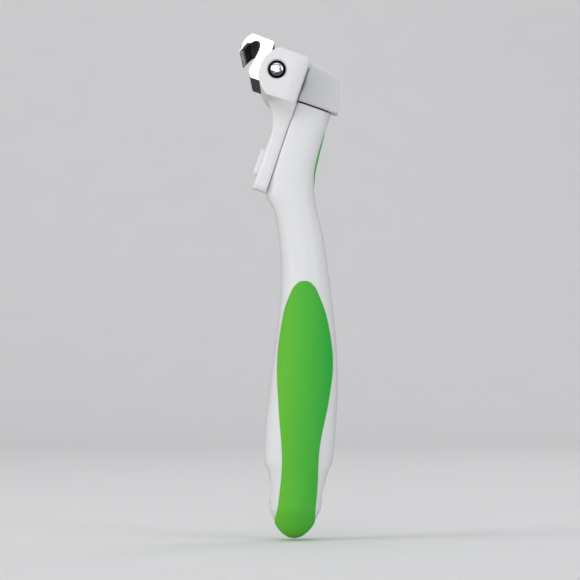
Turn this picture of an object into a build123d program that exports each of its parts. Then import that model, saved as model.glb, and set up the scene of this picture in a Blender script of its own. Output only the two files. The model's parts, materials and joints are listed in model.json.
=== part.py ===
from build123d import *
import os
from math import cos, pi, radians, sin

# A deshedding tool for dogs and cats: a wide steel comb blade in a T-shaped head that slides onto
# the front of a curved, soft-gripped handle. Millimetres, +Z up the handle, origin at the centre of
# the hang hole. -X is the front, where the teeth point; the blade runs along Y.

# ------------------------------------------------------------------------------ driving dimensions
WALL = 2.4                      # moulded wall of the handle shells
GAP = 0.1                       # assembly gap between parts that don't move
SLIDE_GAP = 0.15                # running gap of the head on its rail

# The head has a frame of its own: v is forward, towards the blade, and u is up its back face.
HEAD_TILT = 19                  # degrees the head's back face leans from the handle's axis
HEAD_X, HEAD_Z = -6.9, 146.4    # the axis of the end screws, where v = u = 0
HEAD_LENGTH = 102               # along Y, over the end caps
END_CAP = 2.4                   # thickness of an end cap
SEAM = -9.6                     # v of the flat joint between the head and the handle
HEAD_BACK = SEAM + GAP
NECK_FRONT = SEAM - GAP

# The T-bar is a D in section, flat at the back and round in front.
BAR_TOP, BAR_BOTTOM = 7.55, -9.2
BAR_NOSE_R = 9.7                # radius of the round front
BAR_NOSE_V, BAR_NOSE_U = -3.9, -0.66
CHANNEL_FLOOR = -3.6            # v of the floor of the channel that holds the blade carrier
CHANNEL_TOP, CHANNEL_BOTTOM = 6.1, -4.6
BLADE_BACK = 3.7                # v of the blade's flat back
HOLLOW_FLOOR = -5.4             # v of the floor of the hollow behind the channel
HOLLOW_TOP, HOLLOW_BOTTOM = 5.8, -7.2
COVER = 1.8                     # thickness of the plate that closes the hollow

# The arm hangs from the middle of the T-bar, in front of the neck.
ARM_WIDTH = 22
ARM_FRONT = -4.6
ARM_BOTTOM = -40.3
ARM_SWEEP_TOP = -21             # where the arm's front starts to sweep out to the T-bar
GUSSET_R = 7                    # round between the arm's sides and the underside of the T-bar
ARM_EDGE_R = 1.2

# The rail is a T that stands out of the neck's front and fills a T-slot in the arm.
RAIL_TOP, RAIL_BOTTOM = -9.0, -38.5
RAIL_WEB = 10                   # width of the T's stem
RAIL_HEAD = 15.6                # width of the T's head
RAIL_FACE = -6.2                # v of the T's front
RAIL_HEAD_BACK = -7.95
GROOVE_WIDTH = 6                # groove down the middle of the rail
GROOVE_FLOOR = -8.9
SLOT_STOP = RAIL_TOP + SLIDE_GAP

# The release button fills a window low in the arm and pushes on the latch spring behind it.
BUTTON_TOP, BUTTON_BOTTOM = -25.5, -35.3
BUTTON_WIDTH = 10.8
BUTTON_CORNER_R = 1.5
BUTTON_FACE, BUTTON_UNDER = -2.9, -4.7
BUTTON_FOOT = -7.05             # v of the back of its feet, which rest close to the spring
BUTTON_TAB_FRONT = -6.15        # v of the front of the tabs that hold it behind the arm's wall
BUTTON_STEM_WIDTH = 4.8
FOOT_Y, FOOT_WIDTH = 1.8, 0.8   # inner side of each foot, and its width
LATCH_POCKET_TOP, LATCH_POCKET_BOTTOM = -20.5, -38
LATCH_POCKET_FLOOR = -17.2
SPRING_THICK, SPRING_WIDTH = 0.6, 5
TOOTH_WIDTH, TOOTH_TIP = 2.8, -4.9      # the latch spring's tooth, which stands in the window

# The neck's shells are closed in front by the core that carries the rail. Its tenon and the lip of
# the shells plug up into the cap, which is the block behind the T-bar.
NECK_TOP = -6.6
CAP_BOTTOM = -6.0
CAP_WIDTH = 26
CAP_REAR_TOP, CAP_REAR_BOTTOM = (-20.5, 6.9), (-24.8, CAP_BOTTOM)
CORE_WIDTH = 14.8
CORE_FRONT = NECK_FRONT - WALL - GAP
CORE_BACK = -19.4
CORE_BOTTOM = -39.2
TENON_TOP = 4
LIP_WIDTH, LIP_BACK, LIP_TOP = 20, -21, -3.2

# Handle.
GRIP_PROUD = 0.5                # the soft grip stands this far out of the shells
GRIP_DEPTH = 1.3                # and is let into them this deep
HANG_R = 3.0                    # hang hole
EYELET_R = 4.0
OVAL_POINTS = 16
OVAL_STEPS = [k / OVAL_POINTS for k in range(OVAL_POINTS + 1)]
BUTT_FLOOR = 5                  # the butt is solid below this z, round the eyelet

# Screws. Each is (head radius, head height, shank radius, shank length); the cross recess follows
# from the head. Spots are in the two axes of the plane that the heads sit on.
HANDLE_SCREW = (2.7, 2.0, 1.4, 11.0)
HANDLE_SCREW_SPOTS = ((3, 64), (2.4, 40), (1, 17))
HANDLE_SCREW_SEAT = 5           # distance of the seats from the split between the shells
BOSS_WALL = 1.3
CAP_SCREW = (2.6, 1.1, 1.5, 6.0)
CAP_SCREW_SPOTS = ((0, 0.5),)
CAP_SCREW_SEAT = 1.3            # depth of its seat in the cap's front
COVER_SCREW = (2.15, 0.75, 1.0, 4.2)
COVER_SCREW_SPOTS = tuple((y, -0.7) for y in (-40.5, -13.5, 13.5, 40.5))
COVER_SCREW_SEAT = 0.9
END_SCREW = (3.1, 1.6, 1.95, 9.0)
END_SCREW_SPOTS = ((0, 0),)
END_SCREW_SEAT = 0.7            # depth of the shallow ring round each end screw
BLADE_SCREW = (2.7, 1.5, 1.45, 9.9)     # countersunk, so its height is the depth of the cone
BLADE_SCREW_SPOTS = tuple((y, 1.0) for y in (-34, 0, 34))
COUNTERSINK = 40                # degrees of taper of the cone
INSERT_R, INSERT_LENGTH = 2.9, 8        # threaded bushes in the carrier's ends

# Blade teeth.
TOOTH_PITCH, TOOTH_GAP = 1.5, 0.65
TOOTH_ROOT = 5.4                # u of the bottom of the gaps between the teeth
BLADE_BOTTOM = -5.6

os.makedirs("parts", exist_ok=True)
FORWARD = Vector(-cos(radians(HEAD_TILT)), 0, sin(radians(HEAD_TILT)))
UP = Vector(sin(radians(HEAD_TILT)), 0, cos(radians(HEAD_TILT)))
bar_half = HEAD_LENGTH / 2 - END_CAP


# ------------------------------------------------------------------------------ frames and helpers
def head_at(v, u, y=0.0):
    """The point v forward and u up from the end screws' axis."""
    return Vector(HEAD_X, y, HEAD_Z) + FORWARD * v + UP * u


head_side = Plane(origin=head_at(0, 0), x_dir=FORWARD, z_dir=(0, 1, 0))     # local (v, u)


def facing_front(v):
    """A plane across the head at v, looking forward. Local y is u."""
    return Plane(origin=head_at(v, 0), x_dir=(0, -1, 0), z_dir=FORWARD)


def facing_back(v):
    """A plane across the head at v, looking back. Local y is u."""
    return Plane(origin=head_at(v, 0), x_dir=(0, 1, 0), z_dir=-FORWARD)


def facing_out(side, y):
    """A plane across the T-bar at a distance y from the middle, looking out of that end."""
    return Plane(origin=head_at(0, 0, side * y), x_dir=FORWARD, z_dir=(0, side, 0))


def head_block(v_low, v_high, u_low, u_high, width):
    """A plain block in the head's frame, centred across Y."""
    with BuildPart() as block:
        with BuildSketch(head_side):
            with Locations(((v_low + v_high) / 2, (u_low + u_high) / 2)):
                Rectangle(v_high - v_low, u_high - u_low)
        extrude(amount=width / 2, both=True)
    return block.part


def cut_block(v_low, v_high, u_low, u_high, width):
    """Cuts such a block out of the piece being built."""
    add(head_block(v_low, v_high, u_low, u_high, width), mode=Mode.SUBTRACT)


def columns(plane, spots, radius, length, taper=0):
    """Round columns of one length that stand on a plane."""
    with BuildPart() as standing:
        with BuildSketch(plane):
            with Locations(*spots):
                Circle(radius)
        extrude(amount=length, taper=taper)
    return standing.part


def cut_columns(plane, spots, radius, length, taper=0):
    """Bores such columns out of the piece being built."""
    add(columns(plane, spots, radius, length, taper), mode=Mode.SUBTRACT)


def crosses(plane, spots, size, depth):
    """The cross recesses of screw heads, sunk into a plane."""
    with BuildPart() as sunk:
        with BuildSketch(plane):
            with Locations(*spots):
                Rectangle(size, size / 4.5)
                Rectangle(size / 4.5, size)
        extrude(amount=-depth)
    return sunk.part


def pan_screws(seat, spots, size):
    """Pan-head screws whose heads stand on the seat plane, with their shanks below it."""
    head_r, head_height, shank_r, shank_length = size
    with BuildPart() as screws:
        add(columns(seat, spots, head_r, head_height))
        add(columns(seat, spots, shank_r, -shank_length))
        rims = screws.edges().filter_by(GeomType.CIRCLE)
        top = [rim for rim in rims if abs(seat.to_local_coords(rim.center()).Z - head_height) < 0.001]
        fillet(top, 0.4 * head_height)
        add(crosses(seat.offset(head_height), spots, 1.1 * head_r, 0.6 * head_height), mode=Mode.SUBTRACT)
    return screws.part


def save(part, name):
    """Labels a finished piece and writes it as its own node."""
    part.label = name
    export_step(part, f"parts/{name}.step")


# ------------------------------------------------------------------------------ the handle's form
# Each station is (z, front x, back x, half width, squareness): how far the oval section at that
# height reaches forward and back, half its width across Y, and the exponent of the oval.
# The front of the neck's stations is cut off flat later, where the head's arm lies on it.
CHIN = (105, -11.0, 6.15, 11.1, 3.0)
WAIST = (66, -6.1, 12.6, 11.8, 2.3)
FLARE = (10.6, -11.6, 12.75, 10.8, 2.2)
NECK_STATIONS = (
    (138, -3.0, 13.8, 11.5, 3.2),
    (124, -7.8, 9.1, 11.4, 3.2),
    (113, -10.6, 6.4, 11.2, 3.1),
    CHIN,
)
UPPER_STATIONS = (
    CHIN,
    (99, -8.1, 7.1, 11.0, 2.8),
    (91, -6.6, 9.1, 10.9, 2.6),
    (79, -5.7, 10.9, 11.1, 2.4),
    WAIST,
)
LOWER_STATIONS = (
    WAIST,
    (52, -7.7, 13.9, 12.7, 2.2),
    (38, -9.5, 14.45, 13.0, 2.2),
    (24, -11.1, 13.85, 12.3, 2.2),
    FLARE,
)
BUTT_STATIONS = (
    FLARE,
    (6.5, -10.0, 10.9, 10.3, 2.2),
    (0, -9.35, 9.35, 9.9, 2.2),
    (-6, -9.8, 8.6, 9.5, 2.1),
    (-11, -8.4, 6.2, 7.9, 2.0),
    (-14, -6.1, 4.1, 5.4, 2.0),
    (-16.2, -2.4, 0.4, 1.8, 2.0),
)
BUTT_END = -8                   # below this z the soft grip covers the butt all round


def oval(half_depth, half_width, squareness):
    """Points of a superellipse, starting on the side so that the seam is off the split plane."""
    points = []
    for k in range(OVAL_POINTS):
        angle = 2 * pi * k / OVAL_POINTS + pi / 2
        c, s = cos(angle), sin(angle)
        x = half_depth * abs(c) ** (2 / squareness) * (1 if c > 0 else -1)
        y = half_width * abs(s) ** (2 / squareness) * (1 if s > 0 else -1)
        points.append(Vector(x, y))
    return points


def handle_form(grow_depth, grow_width):
    """The handle's outside, grown in depth (X) and width (Y). The butt's end grows all round."""
    with BuildPart() as form:
        for stations in (NECK_STATIONS, UPPER_STATIONS, LOWER_STATIONS, BUTT_STATIONS):
            for z, front, back, half_width, squareness in stations:
                deeper = grow_depth if z > BUTT_END else grow_width
                lower = grow_width if z == BUTT_STATIONS[-1][0] else 0
                half_depth = max((back - front) / 2 + deeper, 0.8)
                half_wide = max(half_width + grow_width, 0.8)
                with BuildSketch(Plane(origin=((front + back) / 2, 0, z - lower))):
                    with BuildLine():
                        outline = oval(half_depth, half_wide, squareness)
                        add(Edge.make_spline(outline, periodic=True, parameters=OVAL_STEPS))
                    make_face()
            loft()
    return form.part


def shell_inside():
    """The hollow of the two handle shells together: open at the neck, closed at the butt."""
    hollow_form = handle_form(-WALL, -WALL)
    with BuildPart() as inside:
        add(hollow_form)
        add(head_block(NECK_FRONT - WALL, 30, ARM_BOTTOM - 3, 30, 60), mode=Mode.SUBTRACT)
        with BuildSketch(Plane.XY.offset(BUTT_FLOOR)):
            Rectangle(60, 60)
        extrude(amount=-40, mode=Mode.SUBTRACT)
    return inside.part


def grip_outline():
    """The soft grip as seen from the side, extruded right across the handle."""
    with BuildPart() as outline:
        with BuildSketch(Plane.XZ):
            with BuildLine():
                edge = Spline(
                    (5.6, -12), (7.4, 1), (8.2, 16), (11.4, 32), (12.8, 46), (10.8, 61.5),
                    (2.6, 74.4),
                    (-4.3, 63.5), (-6.9, 46), (-6.6, 30), (-5.4, 12), (-6.2, 0), (-7.8, -12),
                )
                Polyline(edge @ 1, (-7.8, -22), (5.6, -22), edge @ 0)
            make_face()
        extrude(amount=20, both=True)
    return outline.part


def pad_outline():
    """The finger pad on the back of the neck: a long round-ended slot, extruded into the neck."""
    with BuildPart() as outline:
        with BuildSketch(facing_back(-14)):
            with Locations((0, -23)):
                SlotOverall(20, 12, rotation=90)
        extrude(amount=16)
    return outline.part


outer_form = handle_form(0, 0)
proud_form = handle_form(GRIP_PROUD, GRIP_PROUD)
grip_floor = handle_form(0, -GRIP_DEPTH)
pad_floor = handle_form(-GRIP_DEPTH, -GRIP_DEPTH)
inner_form = shell_inside()


# ------------------------------------------------------------------------------ handle shells
def shell_pair():
    """Both handle shells as one hollow body, before it is split down the middle."""
    with BuildPart() as bosses:
        with BuildSketch(Plane.XZ):
            with Locations(*HANDLE_SCREW_SPOTS):
                Circle(HANDLE_SCREW[0] + BOSS_WALL)
        extrude(amount=15, both=True)
        add(outer_form, mode=Mode.INTERSECT)
    with BuildPart() as pair:
        add(outer_form)
        # the flat front of the neck, behind the head, and the neck's top under the cap
        cut_block(NECK_FRONT, 30, ARM_BOTTOM - 1, 30, 60)
        cut_block(-40, 30, NECK_TOP, 30, 60)
        add(inner_form, mode=Mode.SUBTRACT)
        add(bosses.part)
        # the lip that plugs up into the cap
        add(head_block(LIP_BACK, NECK_FRONT - WALL, NECK_TOP - WALL, LIP_TOP, LIP_WIDTH))
        # room for the core, and a slot for the stem of its rail
        cut_block(CORE_BACK - GAP, NECK_FRONT - WALL, CORE_BOTTOM - GAP, 10, CORE_WIDTH + 2 * GAP)
        cut_block(NECK_FRONT - WALL - 1, 0, RAIL_BOTTOM - GAP, 10, RAIL_WEB + 2 * GAP)
    return pair.part


def soft_inlay(outline, floor):
    """A soft part moulded into the shells: it fills the outline from its floor to just proud."""
    with BuildPart() as inlay:
        add(outline)
        add(proud_form, mode=Mode.INTERSECT)
        add(floor, mode=Mode.SUBTRACT)
    return inlay.part


hollow_pair = shell_pair()
grip_inlay = soft_inlay(grip_outline(), grip_floor)
pad_inlay = soft_inlay(pad_outline(), pad_floor)


def handle_shell(side, name):
    """One shell: side is -1 for the near one, which takes the screw heads, and 1 for the far one."""
    head_r, head_height, shank_r, shank_length = HANDLE_SCREW
    with BuildPart() as shell:
        add(hollow_pair)
        add(grip_inlay, mode=Mode.SUBTRACT)
        add(pad_inlay, mode=Mode.SUBTRACT)
        cut_columns(Plane.YZ.offset(-20), ((0, 0),), EYELET_R + GAP / 2, 40)
        # the near shell has clearance holes and wells for the heads, the far one has pilot holes
        if side < 0:
            cut_columns(Plane.XZ, HANDLE_SCREW_SPOTS, shank_r + GAP, 20)
            cut_columns(Plane.XZ.offset(HANDLE_SCREW_SEAT), HANDLE_SCREW_SPOTS, head_r + GAP, 15)
        else:
            pilot = shank_length - HANDLE_SCREW_SEAT + 1
            cut_columns(Plane.XZ, HANDLE_SCREW_SPOTS, shank_r + GAP / 2, -pilot)
        split(bisect_by=Plane.XZ, keep=Keep.TOP if side < 0 else Keep.BOTTOM)
    save(shell.part, name)


handle_shell(-1, "handle_left_shell")
handle_shell(1, "handle_right_shell")

handle_screw_plane = Plane.XZ.offset(HANDLE_SCREW_SEAT + GAP / 2)
handle_screws = pan_screws(handle_screw_plane, HANDLE_SCREW_SPOTS, HANDLE_SCREW)
save(handle_screws, "handle_screws")

with BuildPart() as hang_eyelet:
    with BuildSketch(Plane.YZ.offset(-20)):
        Circle(EYELET_R)
        Circle(HANG_R, mode=Mode.SUBTRACT)
    extrude(amount=40)
    add(outer_form, mode=Mode.INTERSECT)
save(hang_eyelet.part, "hang_eyelet")

# ------------------------------------------------------------------------------ soft parts
with BuildPart() as soft_grip:
    add(grip_inlay)
save(soft_grip.part, "soft_grip")

with BuildPart() as neck_pad:
    add(pad_inlay)
save(neck_pad.part, "neck_pad")

# ------------------------------------------------------------------------------ neck core and rail
with BuildPart() as neck_core:
    add(head_block(CORE_BACK, CORE_FRONT, CORE_BOTTOM, TENON_TOP, CORE_WIDTH))
    add(head_block(CORE_FRONT, RAIL_FACE, RAIL_BOTTOM, RAIL_TOP, RAIL_WEB))
    add(head_block(RAIL_HEAD_BACK, RAIL_FACE, RAIL_BOTTOM, RAIL_TOP, RAIL_HEAD))
    # groove for the button's feet, and the pocket of the latch spring
    cut_block(GROOVE_FLOOR, RAIL_FACE, RAIL_BOTTOM, RAIL_TOP, GROOVE_WIDTH)
    cut_block(LATCH_POCKET_FLOOR, RAIL_FACE, LATCH_POCKET_BOTTOM, LATCH_POCKET_TOP, GROOVE_WIDTH)
    # pilot hole for the cap's screw
    cut_columns(facing_front(CORE_FRONT), CAP_SCREW_SPOTS, CAP_SCREW[2] + GAP / 2, -5.5)
save(neck_core.part, "neck_core")

# ------------------------------------------------------------------------------ cap
with BuildPart() as neck_cap:
    with BuildSketch(head_side):
        with BuildLine():
            front_edge = Line((NECK_FRONT, CAP_BOTTOM), (NECK_FRONT, 8.1))
            over = FilletPolyline(front_edge @ 1, CAP_REAR_TOP, CAP_REAR_BOTTOM, radius=2.6)
            Line(over @ 1, front_edge @ 0)
        make_face()
    extrude(amount=CAP_WIDTH / 2, both=True)
    ends = neck_cap.faces().sort_by(Axis.Y)
    fillet(ends[0].edges() + ends[-1].edges(), 1.2)
    # sockets for the shells' lip and for the core's tenon
    lip_front = NECK_FRONT - WALL + GAP
    cut_block(LIP_BACK - GAP, lip_front, CAP_BOTTOM - 1, LIP_TOP + GAP, LIP_WIDTH + 2 * GAP)
    cut_block(CORE_BACK - GAP, lip_front, CAP_BOTTOM - 1, TENON_TOP + GAP, CORE_WIDTH + 2 * GAP)
    cut_columns(facing_front(NECK_FRONT), CAP_SCREW_SPOTS, CAP_SCREW[2] + GAP, -4)
    cut_columns(facing_front(NECK_FRONT), CAP_SCREW_SPOTS, CAP_SCREW[0] + 2 * GAP, -CAP_SCREW_SEAT)
save(neck_cap.part, "neck_cap")

cap_screw = pan_screws(facing_front(NECK_FRONT - CAP_SCREW_SEAT + GAP / 2), CAP_SCREW_SPOTS, CAP_SCREW)
save(cap_screw, "cap_screw")

# ------------------------------------------------------------------------------ latch spring
with BuildPart() as latch_spring:
    with BuildSketch(head_side):
        with BuildLine():
            strip = FilletPolyline(
                (-16.7, -36.5), (-16.7, -21.4), (-14.6, -21.4), (-7.6, -34.4), (-7.6, -36.4),
                radius=0.9,
            )
            offset(strip, amount=SPRING_THICK / 2, side=Side.BOTH)
        make_face()
    extrude(amount=SPRING_WIDTH / 2, both=True)
    # the tooth is narrower, so that the button's feet press on the strip on both sides of it
    add(head_block(-7.6, TOOTH_TIP, BUTTON_BOTTOM, BUTTON_BOTTOM + 1.3, TOOTH_WIDTH))
save(latch_spring.part, "latch_spring")


# ------------------------------------------------------------------------------ head housing
def nose_v(u):
    """v of the T-bar's round front at a height u."""
    return BAR_NOSE_V + (BAR_NOSE_R**2 - (u - BAR_NOSE_U) ** 2) ** 0.5


top_front = (nose_v(BAR_TOP), BAR_TOP)
bottom_front = (nose_v(BAR_BOTTOM), BAR_BOTTOM)
with BuildSketch() as bar_d:
    with BuildLine():
        ThreePointArc(bottom_front, (BAR_NOSE_V + BAR_NOSE_R, BAR_NOSE_U), top_front)
        Polyline(top_front, (HEAD_BACK, BAR_TOP), (HEAD_BACK, BAR_BOTTOM), bottom_front)
    make_face()

with BuildPart() as head_housing:
    with BuildSketch(head_side):
        add(bar_d.sketch)
    extrude(amount=bar_half, both=True)
    # arm, with its front sweeping out to the T-bar
    with BuildSketch(head_side):
        with BuildLine():
            sweep = TangentArc(
                (ARM_FRONT, ARM_SWEEP_TOP), (bottom_front[0] - 0.3, BAR_BOTTOM), tangent=(0, 1)
            )
            inside_bar = BAR_BOTTOM + 2
            Polyline(
                sweep @ 1, ((sweep @ 1).X, inside_bar), (HEAD_BACK, inside_bar),
                (HEAD_BACK, ARM_BOTTOM), (ARM_FRONT, ARM_BOTTOM), sweep @ 0,
            )
        make_face()
    extrude(amount=ARM_WIDTH / 2, both=True)
    # rounds: the gussets under the T-bar and the arm's long front edges
    for axis, place, round_r in (("Y", BAR_BOTTOM, GUSSET_R), ("X", ARM_FRONT, ARM_EDGE_R)):
        edges = [
            edge
            for edge in head_housing.edges()
            if abs(abs(edge.center().Y) - ARM_WIDTH / 2) < 0.01
            and abs(getattr(head_side.to_local_coords(edge.center()), axis) - place) < 0.01
        ]
        fillet(edges, round_r)
    # channel for the blade carrier, the seat of the blade in front of it, and the hollow behind
    cut_block(CHANNEL_FLOOR, 12, CHANNEL_BOTTOM, CHANNEL_TOP, HEAD_LENGTH)
    cut_block(BLADE_BACK - GAP, 12, BLADE_BOTTOM - GAP, 12, HEAD_LENGTH)
    cut_block(HEAD_BACK - 1, HOLLOW_FLOOR, HOLLOW_BOTTOM, HOLLOW_TOP, HEAD_LENGTH)
    # bosses for the cover's screws
    boss_height = HOLLOW_FLOOR - HEAD_BACK - COVER - GAP
    add(columns(facing_back(HOLLOW_FLOOR), COVER_SCREW_SPOTS, COVER_SCREW[0] + 0.25, boss_height))
    cover_pilot = facing_back(HEAD_BACK + COVER)
    cut_columns(cover_pilot, COVER_SCREW_SPOTS, COVER_SCREW[2] + GAP / 2, -6)
    # T-slot for the rail
    stem_room, head_room = RAIL_WEB + 2 * SLIDE_GAP, RAIL_HEAD + 2 * SLIDE_GAP
    cut_block(HEAD_BACK - 1, RAIL_HEAD_BACK, ARM_BOTTOM - 1, SLOT_STOP, stem_room)
    cut_block(
        RAIL_HEAD_BACK - SLIDE_GAP, RAIL_FACE + SLIDE_GAP, ARM_BOTTOM - 1, SLOT_STOP, head_room
    )
    # window for the button
    with BuildSketch(facing_front(RAIL_FACE)):
        with Locations((0, (BUTTON_TOP + BUTTON_BOTTOM) / 2)):
            window_height = BUTTON_TOP - BUTTON_BOTTOM + 2 * SLIDE_GAP
            RectangleRounded(
                BUTTON_WIDTH + 2 * SLIDE_GAP, window_height, BUTTON_CORNER_R + SLIDE_GAP
            )
    extrude(amount=5, mode=Mode.SUBTRACT)
save(head_housing.part, "head_housing")

with BuildPart() as head_back_cover:
    cover_top, cover_bottom = HOLLOW_TOP - GAP, HOLLOW_BOTTOM + GAP
    add(head_block(HEAD_BACK, HEAD_BACK + COVER, cover_bottom, cover_top, 2 * bar_half - 2 * GAP))
    cut_columns(facing_back(HEAD_BACK), COVER_SCREW_SPOTS, 1.35, -COVER)
    cut_columns(facing_back(HEAD_BACK), COVER_SCREW_SPOTS, COVER_SCREW[0] + 0.15, -COVER_SCREW_SEAT)
save(head_back_cover.part, "head_back_cover")

cover_seat = facing_back(HEAD_BACK + COVER_SCREW_SEAT - GAP / 2)
back_cover_screws = pan_screws(cover_seat, COVER_SCREW_SPOTS, COVER_SCREW)
save(back_cover_screws, "back_cover_screws")


# ------------------------------------------------------------------------------ end caps and screws
def end_cap(side, name):
    """The D-shaped end of the T-bar, rounded at the back, with a spigot in the hollow."""
    outside = facing_out(side, HEAD_LENGTH / 2)
    with BuildPart() as cap:
        with BuildSketch(head_side.offset(side * bar_half)):
            add(bar_d.sketch)
        extrude(amount=side * END_CAP)
        outer_edges = cap.edges().filter_by(lambda e: abs(outside.to_local_coords(e.center()).Z) < 0.01)
        back_edge = [e for e in outer_edges if abs(outside.to_local_coords(e.center()).X - HEAD_BACK) < 0.01]
        fillet(back_edge, 2.0)
        spigot_back = HEAD_BACK + COVER + 2 * GAP
        with BuildSketch(head_side.offset(side * bar_half)):
            with Locations(((HOLLOW_FLOOR + spigot_back) / 2 - GAP, (HOLLOW_TOP + HOLLOW_BOTTOM) / 2)):
                Rectangle(HOLLOW_FLOOR - spigot_back - 2 * GAP, 11)
        extrude(amount=-side * 3)
        cut_columns(outside, END_SCREW_SPOTS, END_SCREW[2] + 2 * GAP, -END_CAP - 3)
        cut_columns(outside, END_SCREW_SPOTS, END_SCREW[0] + 0.25, -END_SCREW_SEAT)
    save(cap.part, name)


end_cap(-1, "end_cap_left")
end_cap(1, "end_cap_right")

with BuildPart() as end_cap_screws:
    for side in (-1, 1):
        add(pan_screws(facing_out(side, HEAD_LENGTH / 2 - END_SCREW_SEAT), END_SCREW_SPOTS, END_SCREW))
save(end_cap_screws.part, "end_cap_screws")

# ------------------------------------------------------------------------------ carrier and blade
carrier_half = bar_half - GAP
carrier_back = CHANNEL_FLOOR + GAP

with BuildPart() as blade_carrier:
    carrier_bottom, carrier_top = CHANNEL_BOTTOM + GAP, CHANNEL_TOP - GAP
    add(head_block(carrier_back, BLADE_BACK - GAP, carrier_bottom, carrier_top, 2 * carrier_half))
    for side in (-1, 1):
        cut_columns(facing_out(side, carrier_half), END_SCREW_SPOTS, INSERT_R + GAP / 2, -INSERT_LENGTH - 1)
    cut_columns(facing_back(carrier_back), BLADE_SCREW_SPOTS, BLADE_SCREW[2] + GAP, -12)
    sink_r, sink_depth = BLADE_SCREW[0] + 2 * GAP, BLADE_SCREW[1] + 2 * GAP
    cut_columns(facing_back(carrier_back), BLADE_SCREW_SPOTS, sink_r, -sink_depth, COUNTERSINK)
save(blade_carrier.part, "blade_carrier")

with BuildPart() as carrier_inserts:
    for side in (-1, 1):
        with BuildSketch(facing_out(side, carrier_half)):
            Circle(INSERT_R)
            Circle(END_SCREW[2] + GAP / 2, mode=Mode.SUBTRACT)
        extrude(amount=-INSERT_LENGTH)
save(carrier_inserts.part, "carrier_inserts")

with BuildPart() as blade_screws:
    head_r, cone_depth, shank_r, shank_length = BLADE_SCREW
    add(columns(facing_back(carrier_back), BLADE_SCREW_SPOTS, head_r, -cone_depth, COUNTERSINK))
    add(columns(facing_back(carrier_back), BLADE_SCREW_SPOTS, shank_r, -shank_length))
    recesses = crosses(facing_back(carrier_back), BLADE_SCREW_SPOTS, head_r, 0.6 * cone_depth)
    add(recesses, mode=Mode.SUBTRACT)
save(blade_screws.part, "blade_screws")

blade_length = 2 * carrier_half
gap_count = int((blade_length - 2 * TOOTH_PITCH) / TOOTH_PITCH)

with BuildPart() as blade:
    with BuildSketch(head_side):
        with BuildLine():
            back = Line((BLADE_BACK, BLADE_BOTTOM), (BLADE_BACK, 7.9))
            corner = ThreePointArc(back @ 1, (4.05, 8.7), (4.9, 9.0))
            top = Line(corner @ 1, (11.2, 9.1))
            claw = Spline(top @ 1, (13.4, 7.3), (14.3, 4.0), (13.8, 1.2), tangents=((1, 0), (-0.25, -1)))
            under = Spline(claw @ 1, (12.5, 4.3), (10.4, 6.6), tangents=((-0.25, 1), (-1, 0.6)))
            pocket = ThreePointArc(under @ 1, (9.3, 7.1), (8.3, 6.4))
            face = Spline(pocket @ 1, (7.9, 3.6), (8.6, 0), (9.1, -2.6), (7.7, BLADE_BOTTOM))
            Line(face @ 1, back @ 0)
        make_face()
    extrude(amount=blade_length / 2, both=True)
    # gaps between the teeth, from below their tips up to the root
    with BuildSketch(facing_front(9.7)):
        with Locations((0, TOOTH_ROOT - 4)):
            with GridLocations(TOOTH_PITCH, 1, gap_count, 1):
                Rectangle(TOOTH_GAP, 8)
    extrude(amount=8, mode=Mode.SUBTRACT)
    # tapped holes for the screws through the carrier
    cut_columns(facing_front(BLADE_BACK), BLADE_SCREW_SPOTS, BLADE_SCREW[2] + GAP / 2, 3)
save(blade.part, "blade")

# ------------------------------------------------------------------------------ release button
with BuildPart() as release_button:
    with BuildSketch(facing_front(BUTTON_UNDER)):
        with Locations((0, (BUTTON_TOP + BUTTON_BOTTOM) / 2)):
            RectangleRounded(BUTTON_WIDTH, BUTTON_TOP - BUTTON_BOTTOM, BUTTON_CORNER_R)
    extrude(amount=BUTTON_FACE - BUTTON_UNDER)
    front_face = release_button.faces().sort_by(lambda f: (f.center() - head_at(0, 0)).dot(FORWARD))[-1]
    fillet(front_face.edges(), 0.5)
    # stem, and the tab above the window that keeps the button in it
    add(head_block(BUTTON_TAB_FRONT, BUTTON_UNDER, -32.6, -26.4, BUTTON_STEM_WIDTH))
    add(head_block(BUTTON_FOOT, BUTTON_TAB_FRONT, -32.6, BUTTON_TOP + 1.3, BUTTON_STEM_WIDTH))
    # feet on both sides of the spring's tooth, reaching below the window
    for side in (-1, 1):
        with BuildSketch(head_side.offset(side * FOOT_Y)):
            with Locations(((BUTTON_FOOT + BUTTON_TAB_FRONT) / 2, -34.4)):
                Rectangle(BUTTON_TAB_FRONT - BUTTON_FOOT, 4.4)
            with Locations(((BUTTON_FOOT + BUTTON_UNDER) / 2, -33.5)):
                Rectangle(BUTTON_UNDER - BUTTON_FOOT, 1.6)
        extrude(amount=side * FOOT_WIDTH)
save(release_button.part, "release_button")
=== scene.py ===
import json
from math import acos, asin, cos, degrees, pi, radians, sin, sqrt, tan

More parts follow.
